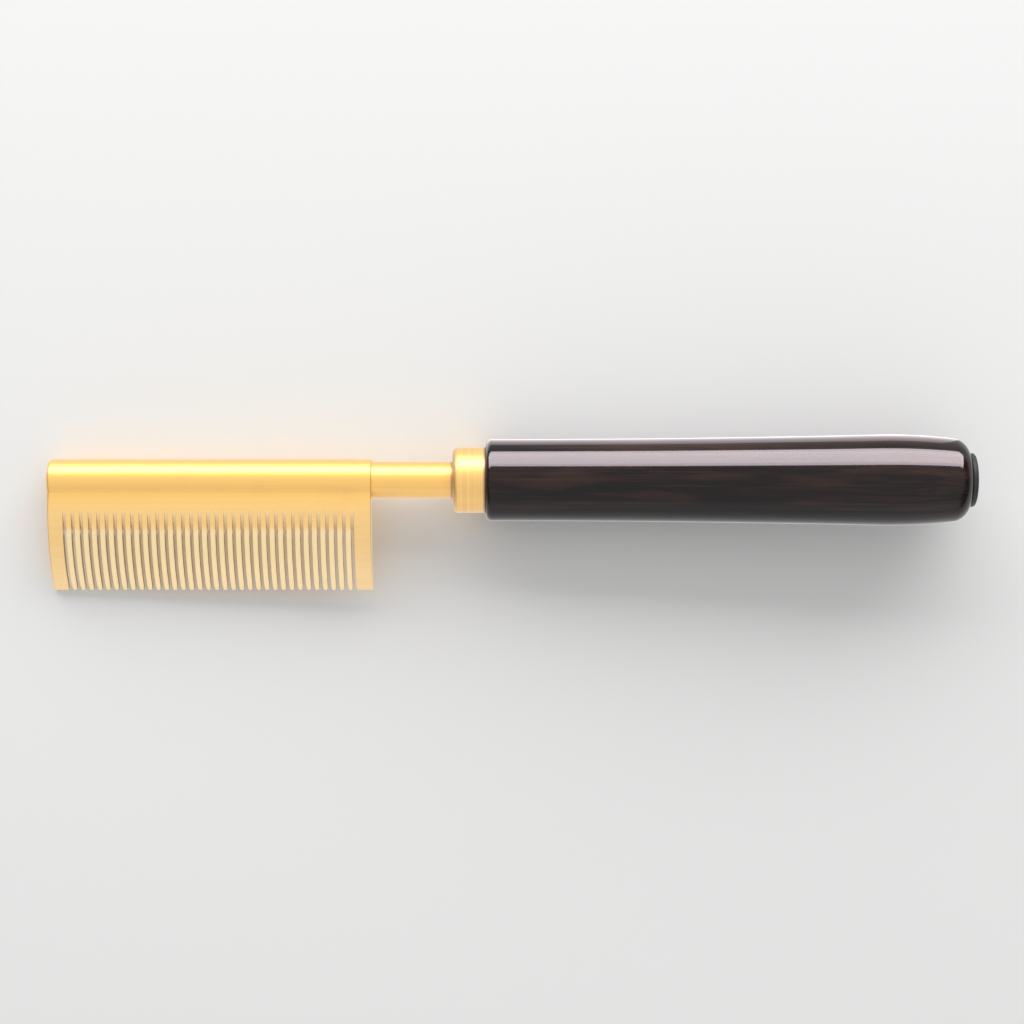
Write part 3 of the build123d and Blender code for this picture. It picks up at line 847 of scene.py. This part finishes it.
class HOTCOMB_OT_shank_and_ferrule(bpy.types.Operator):
    """Make the brass shank tube and the turned ferrule"""

    bl_idname = "hotcomb.shank_and_ferrule"
    bl_label = "Shank and ferrule"

    def execute(self, context):
        sizes = context.scene.hotcomb_shank
        looks = context.scene.hotcomb_finishes
        outer, inner, edge = sizes.shank / 2, sizes.shank_bore / 2, sizes.shank_edge
        corners = [(SHANK_FRONT, inner, 0), (SHANK_FRONT, outer, edge)]
        corners += [(SHANK_REAR, outer, edge), (SHANK_REAR, inner, 0)]
        shank = put(turned("shank", rounded(corners)))
        dress(shank, shank_brass_finish(looks), "shank_brass", "shank_tube")
        outer, hole, bore = sizes.ferrule / 2, sizes.ferrule_hole / 2, sizes.ferrule_bore / 2
        inside = FERRULE_FRONT + sizes.ferrule_front
        corners = [
            (FERRULE_FRONT, hole, sizes.ferrule_lip),
            (FERRULE_FRONT, outer, sizes.ferrule_round),
            (SHOULDER, outer, sizes.ferrule_edge),
            (SHOULDER, bore, 0),
            (inside, bore, 0),
            (inside, hole, 0),
        ]
        ferrule = put(turned("turned_ferrule", rounded(corners, steps=12), sides=192))
        dress(ferrule, ferrule_brass_finish(looks), "ferrule_brass", "ferrule")
        return {"FINISHED"}


# --- handle, cord bush and inner parts ---


def handle_outline(sizes):
    """The handle's section: a long flare, a crown that turns back in, and the bores."""
    shoulder = Vector((SHOULDER, sizes.front / 2))
    widest = Vector((SHOULDER + sizes.flare_length, sizes.flare / 2))
    centre, _ = sweep(shoulder, Vector((1, 0)), widest)
    flare = swing(centre, shoulder - centre, widest - centre, steps=40)
    heading = (flare[-1] - flare[-2]).normalized()
    centre, radius = sweep(widest, heading, Vector((HANDLE_REAR, sizes.rear / 2)))
    corner = Vector((HANDLE_REAR - sizes.rear_round, 0))
    reach = radius - sizes.rear_round
    corner.y = centre.y + sqrt(reach**2 - (corner.x - centre.x) ** 2)
    meet = centre + (corner - centre) * (radius / reach)
    crown = swing(centre, widest - centre, meet - centre, steps=16)
    rear = swing(corner, meet - corner, Vector((1, 0)), steps=16)
    corners = [
        (TENON_FRONT, sizes.sleeve_bore / 2, 0),
        (TENON_FRONT, sizes.tenon / 2, 0),
        (SHOULDER, sizes.tenon / 2, 0),
        (SHOULDER, sizes.front / 2, sizes.shoulder_round),
        (SHOULDER + sizes.shoulder_round * 3, sizes.front / 2, 0),
    ]
    front = rounded(corners, steps=12)[:-1]
    splices = HANDLE_REAR - sizes.rear_bore_depth
    bores = [
        (HANDLE_REAR, sizes.rear_bore),
        (splices, sizes.rear_bore),
        (splices, sizes.wire_bore),
        (BUSH_SEAT, sizes.wire_bore),
        (BUSH_SEAT, sizes.sleeve_bore),
    ]
    bores = [Vector((along, bore / 2)) for along, bore in bores]
    return front + flare[1:-1] + crown + rear[1:] + bores


def lug_slots(sizes):
    """The two slots in the tenon's face that take the collar's lugs."""
    shape = bmesh.new()
    block = (2 * sizes.lug_length, 2 * sizes.lug_depth, sizes.lug_width)
    for side in (-1, 1):
        made = bmesh.ops.create_cube(shape, size=1.0)["verts"]
        bmesh.ops.scale(shape, vec=block, verts=made)
        bmesh.ops.translate(shape, vec=(TENON_FRONT, side * sizes.tenon / 2, 0), verts=made)
    return closed("lug_slots", shape)


class HOTCOMB_OT_handle(bpy.types.Operator):
    """Make the turned, lacquered handle with its bores and lug slots"""

    bl_idname = "hotcomb.handle"
    bl_label = "Handle"

    def execute(self, context):
        sizes = context.scene.hotcomb_handle
        handle = put(turned("turned_handle", handle_outline(sizes), sides=192))
        cutter = put(lug_slots(sizes))
        cut = handle.modifiers.new("Lug slots", "BOOLEAN")
        cut.operation = "DIFFERENCE"
        cut.solver = "EXACT"
        cut.object = cutter
        settle(handle)
        bpy.data.objects.remove(cutter)
        finish = lacquered_wood_finish(context.scene.hotcomb_finishes)
        dress(handle, finish, "lacquered_wood", "handle")
        return {"FINISHED"}


class HOTCOMB_OT_cord_bush(bpy.types.Operator):
    """Make the rubber cord bush with its flange and crush ribs"""

    bl_idname = "hotcomb.cord_bush"
    bl_label = "Cord bush"

    def execute(self, context):
        sizes = context.scene.hotcomb_handle
        gland, spigot, rib = sizes.gland / 2, sizes.bush_spigot / 2, sizes.bush_rib / 2
        flange = sizes.bush_flange / 2
        flange_front = BUSH_MOUTH - sizes.bush_flange_length
        corners = [(BUSH_FRONT, gland, 0), (BUSH_FRONT, spigot, sizes.bush_edge)]
        step = (flange_front - BUSH_FRONT) / (sizes.bush_ribs + 1)
        for i in range(sizes.bush_ribs):
            middle = BUSH_FRONT + (i + 1) * step
            for quarters, radius in ((-2, spigot), (-1, rib), (1, rib), (2, spigot)):
                corners.append((middle + quarters * sizes.bush_rib_width / 4, radius, 0))
        corners += [
            (flange_front, spigot, 0),
            (flange_front, flange, sizes.bush_edge / 2),
            (BUSH_MOUTH, flange, sizes.bush_round),
            (BUSH_MOUTH, gland, sizes.bush_lip),
        ]
        bush = put(turned("moulded_cord_bush", rounded(corners), sides=128))
        finish = moulded_rubber_finish(context.scene.hotcomb_finishes)
        dress(bush, finish, "black_rubber", "cord_bush")
        return {"FINISHED"}


class HOTCOMB_OT_inner_parts(bpy.types.Operator):
    """Give the heater, the leads and the other pieces inside the tool their finishes"""

    bl_idname = "hotcomb.inner_parts"
    bl_label = "Inner parts"

    def execute(self, context):
        looks = context.scene.hotcomb_finishes
        finishes = {
            "heater_steel": drawn_metal_finish("heater_steel", looks.steel, (0.3, 0.26, 0.22), 0.3),
            "fuse_can": drawn_metal_finish("fuse_can", looks.can, (0.5, 0.5, 0.5), 0.25),
            "tinned_copper": drawn_metal_finish("tinned_copper", looks.tin, (0.5, 0.42, 0.34), 0.3),
            "resistance_wire": wound_wire_finish(looks),
            "mica": pressed_mica_finish(looks),
            "ceramic": ceramic_finish(looks),
            "glass_braid": glass_braid_finish(looks),
            "shank_brass": bpy.data.materials["shank_brass"],
        }
        for subpart in frame["record"]["subparts"]:
            node = frame["nodes"][subpart["node"]]
            if node.hide_render:
                continue
            node.data.materials.clear()
            node.data.materials.append(finishes[subpart["material_slot"]])
        return {"FINISHED"}


# --- stage ---


def lamp(name, watts, size, place, target):
    """Adds a rectangular lamp that looks at a point."""
    light = bpy.data.lights.new(name, "AREA")
    light.shape = "RECTANGLE"
    light.size, light.size_y = size
    light.energy = watts
    thing = put(light)
    thing.location = place
    thing.rotation_euler = (Vector(target) - Vector(place)).to_track_quat("-Z", "Y").to_euler()
    thing.visible_camera = False
    return thing


def hang_lamps(stage, middle):
    """Hangs a broad and a weak lamp over the tool, and two that only show in the lacquer."""
    target = (middle, 0, 0)
    lamp("broad_lamp", stage.broad_lamp, (2.6, 0.72), (middle, 1.05, 0.557), target)
    lamp("near_lamp", stage.near_lamp, (2.6, 0.52), (middle, -1.156, 0.32), target)
    gloss = lamp("gloss_lamp", stage.gloss_lamp, (2.4, 0.98), (middle, 0.97, 0.515), target)
    strip_front, strip_width, beside, low = SHOULDER - 0.03, 0.026, 0.0275, -0.0088
    strip_middle = (strip_front + HANDLE_REAR) / 2
    strip = (HANDLE_REAR - strip_front, strip_width)
    place, above = ((strip_middle, beside, up) for up in (low, 0))
    rim = lamp("rim_lamp", stage.rim_lamp, strip, place, above)
    lacquered = bpy.data.collections.new("lacquered")
    lacquered.objects.link(bpy.data.objects["turned_handle"])
    for light in (gloss, rim):
        light.data.color = stage.gloss_tone
        light.visible_diffuse = False
        light.light_linking.receiver_collection = lacquered


def floor_paper(stage, middle):
    """Pale paper, which fades out far from the tool and is as pale as the surround in the metal."""
    paper = Finish("floor_paper")
    fibre = paper.noise(1.2, 1.2)
    colour = paper.blend(fibre * 0.05, stage.floor, (0.7, 0.7, 0.69))
    sheet = paper.node("ShaderNodeBsdfPrincipled", {"Base Color": colour, "Roughness": 0.9})
    mirrored = paper.node("ShaderNodeEmission", {"Color": rgba(stage.surround), "Strength": 1.0})
    x, y, _ = paper.axes(paper.place)
    from_middle = ((x - middle) ** 2.0 + y * y) ** 0.5
    fade_starts, fade_ends = 0.3, 1.3
    far = paper.between(from_middle, fade_starts, fade_ends) * paper.ray("Camera")
    pale = paper.largest(far, paper.ray("Glossy"))
    seen = paper.node("ShaderNodeMixShader", {0: pale, 1: sheet, 2: mirrored})
    paper.node("ShaderNodeOutputMaterial", {"Surface": seen})
    return paper.material


def surround(stage):
    """The air all round: an even fill, and what is seen or mirrored, darker past the tool's ends."""
    world = bpy.data.worlds.new("surround")
    world.use_nodes = True
    air = Bench(world.node_tree)
    in_metal = air.ray("Glossy")
    seen = air.largest(air.ray("Camera"), in_metal, air.ray("Transmission"))
    fill = air.node("ShaderNodeBackground", {"Color": rgba((1, 1, 1)), "Strength": stage.fill})
    along, _, above = air.axes(air.node("ShaderNodeTexCoord", {}, output="Generated"))
    past_ends, low_down = air.between(abs(along), 0.35, 0.6), air.between(above, 0.75, 0.35)
    strength = 1.0 - past_ends * low_down * in_metal * stage.dark_ends
    sockets = {"Color": rgba(stage.surround), "Strength": strength}
    mirrored = air.node("ShaderNodeBackground", sockets)
    both = air.node("ShaderNodeMixShader", {0: seen, 1: fill, 2: mirrored})
    air.node("ShaderNodeOutputWorld", {"Surface": both})
    return world


def resting_floor(head, handle):
    """A point and the normal of the plane under the guard tooth, the barrel and the shoulder."""
    turn = tip_turn(head)
    tip = (web_point(head, 1, turn) + web_point(head, -1, turn)) / 2
    under_tip = Vector((HEAD_NOSE + head.web_round, tip.x, tip.y - head.tip / 2))
    under_barrel = Vector((HEAD_NOSE + head.nose_round, 0, -head.barrel / 2))
    under_handle = Vector((SHOULDER + handle.shoulder_round, 0, -handle.front / 2))
    normal = (under_tip - under_barrel).cross(under_handle - under_barrel).normalized()
    return under_barrel, normal


class HOTCOMB_OT_stage(bpy.types.Operator):
    """Set the pale floor, the lamps on the far side, the surround and the camera"""

    bl_idname = "hotcomb.stage"
    bl_label = "Stage"

    def execute(self, context):
        scene = context.scene
        stage = scene.hotcomb_stage
        middle = (HEAD_NOSE + BUSH_MOUTH) / 2
        point, normal = resting_floor(scene.hotcomb_head, scene.hotcomb_handle)
        tilt = Vector((0, 0, 1)).rotation_difference(normal).to_matrix()
        shape = bmesh.new()
        bmesh.ops.create_grid(shape, x_segments=1, y_segments=1, size=3.0)
        bmesh.ops.rotate(shape, matrix=tilt, verts=shape.verts)
        bmesh.ops.translate(shape, vec=point - normal * stage.floor_gap, verts=shape.verts)
        mesh = bpy.data.meshes.new("floor")
        shape.to_mesh(mesh)
        shape.free()
        floor = put(mesh)
        floor.data.materials.append(floor_paper(stage, middle))
        hang_lamps(stage, middle)
        scene.world = surround(stage)
        camera = bpy.data.cameras.new("camera")
        camera.sensor_width = 36.0
        camera.lens = camera.sensor_width * stage.camera_height / stage.camera_view
        eye = put(camera)
        eye.location = (middle, -stage.camera_shift, stage.camera_height)
        scene.camera = eye
        scene.view_settings.view_transform = "Standard"
        return {"FINISHED"}


class HOTCOMB_PT_panel(bpy.types.Panel):
    """The steps that make the straightening comb, in order"""

    bl_label = "Straightening comb"
    bl_idname = "HOTCOMB_PT_panel"
    bl_space_type = "VIEW_3D"
    bl_region_type = "UI"
    bl_category = "Straightening comb"

    def draw(self, context):
        for step in STEPS:
            self.layout.operator(step.bl_idname)


STEPS = (
    HOTCOMB_OT_comb_head,
    HOTCOMB_OT_shank_and_ferrule,
    HOTCOMB_OT_handle,
    HOTCOMB_OT_cord_bush,
    HOTCOMB_OT_inner_parts,
    HOTCOMB_OT_stage,
)
GROUPS = {
    "hotcomb_head": CombHeadSizes,
    "hotcomb_shank": ShankSizes,
    "hotcomb_handle": HandleSizes,
    "hotcomb_finishes": Finishes,
    "hotcomb_stage": StageSettings,
}


def register():
    for group in GROUPS.values():
        bpy.utils.register_class(group)
    for name, group in GROUPS.items():
        setattr(bpy.types.Scene, name, PointerProperty(type=group))
    for step in STEPS:
        bpy.utils.register_class(step)
    bpy.utils.register_class(HOTCOMB_PT_panel)


def unregister():
    bpy.utils.unregister_class(HOTCOMB_PT_panel)
    for step in reversed(STEPS):
        bpy.utils.unregister_class(step)
    for name, group in reversed(GROUPS.items()):
        delattr(bpy.types.Scene, name)
        bpy.utils.unregister_class(group)


def main():
    register()
    bpy.ops.hotcomb.comb_head()
    bpy.ops.hotcomb.shank_and_ferrule()
    bpy.ops.hotcomb.handle()
    bpy.ops.hotcomb.cord_bush()
    bpy.ops.hotcomb.inner_parts()
    bpy.ops.hotcomb.stage()


if __name__ == "__main__":
    main()
